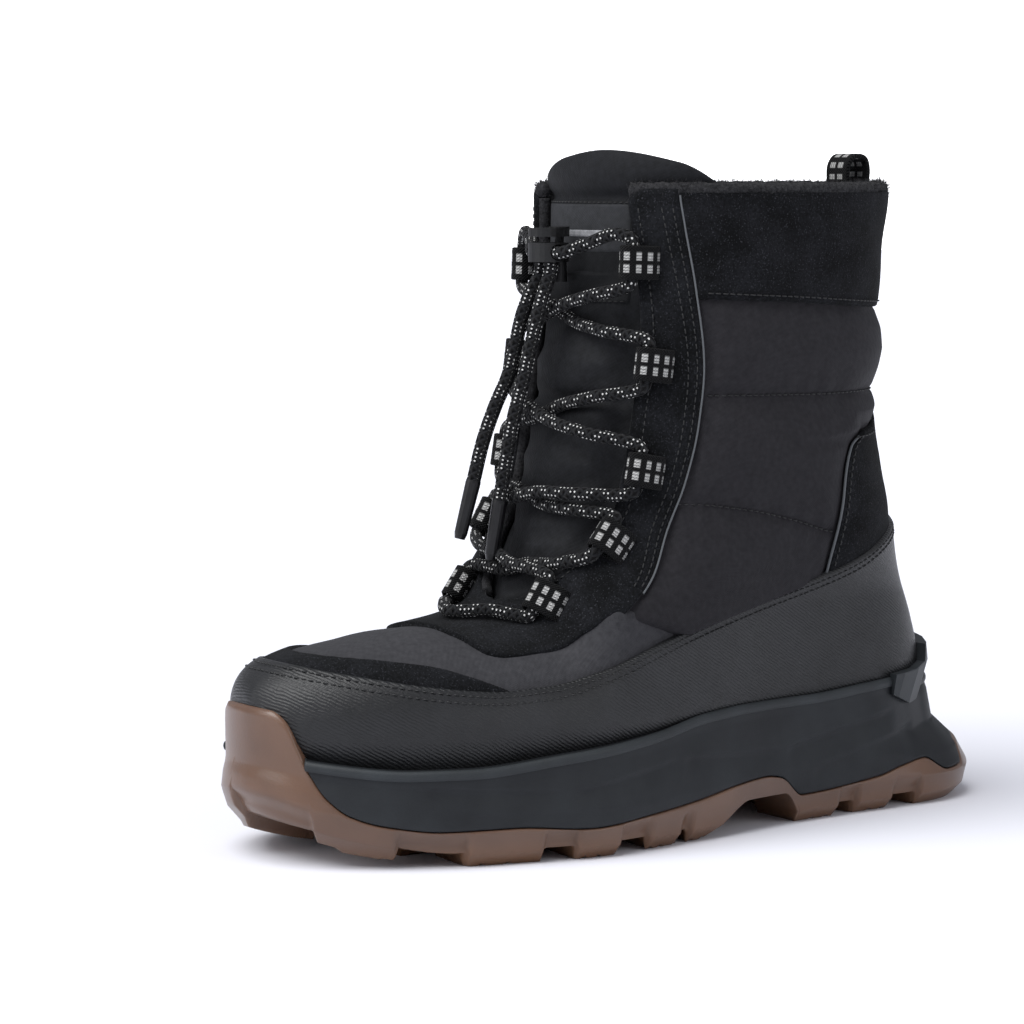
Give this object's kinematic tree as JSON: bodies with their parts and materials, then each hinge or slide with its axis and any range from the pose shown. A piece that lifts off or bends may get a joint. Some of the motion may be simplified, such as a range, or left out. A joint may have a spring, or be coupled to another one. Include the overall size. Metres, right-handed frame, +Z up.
{
  "type": "snow boot",
  "caption": "Lace-up winter boot for the left foot: padded shaft with fleece collar, wrap-around rand, cord lock on a round lace, two-part lugged sole.",
  "frame": {"origin": "centre of the sole's footprint at ground level, under the boot", "axes": "+Z up the shaft, -Y towards the toe, +X towards the outer (lateral) side of the left boot"},
  "size_m": [0.113, 0.303, 0.2391],
  "materials": {
    "gum_rubber": "satin",
    "foam_midsole": "matte",
    "rand_leather": "satin",
    "suede_and_nylon": "matte",
    "tongue_cloth": "matte",
    "felt": "matte",
    "webbing": "matte",
    "lace_braid": "matte",
    "moulded_plastic": "matte"
  },
  "bodies": {
    "boot": {"outsole": "gum_rubber", "midsole": "foam_midsole", "heel_clip": "foam_midsole", "rand": "rand_leather", "upper": "suede_and_nylon", "tongue": "tongue_cloth", "insole": "felt", "lace_loop_lateral_1": "webbing", "lace_loop_lateral_2": "webbing", "lace_loop_lateral_3": "webbing", "lace_loop_lateral_4": "webbing", "lace_loop_lateral_5": "webbing", "lace_loop_medial_1": "webbing", "lace_loop_medial_2": "webbing", "lace_loop_medial_3": "webbing", "lace_loop_medial_4": "webbing", "lace_loop_medial_5": "webbing", "pull_loop": "webbing", "lace_cross_1": "lace_braid", "lace_cross_2": "lace_braid", "lace_cross_3": "lace_braid", "lace_cross_4": "lace_braid", "lace_bar_bottom": "lace_braid", "lace_top_lateral": "lace_braid", "lace_top_medial": "lace_braid", "lace_end_a": "lace_braid", "lace_end_b": "lace_braid", "aglet_a": "moulded_plastic", "aglet_b": "moulded_plastic", "lock_body": "moulded_plastic"},
    "lock_button": {"lock_button": "moulded_plastic"}
  },
  "joints": [
    {"name": "lock_button_press", "type": "slide", "parent": "boot", "child": "lock_button", "axis": [0, 0, -1], "range_m": [0, 0.0018], "stiffness_N_per_m": 300, "springref_m": -0.003}
  ]
}
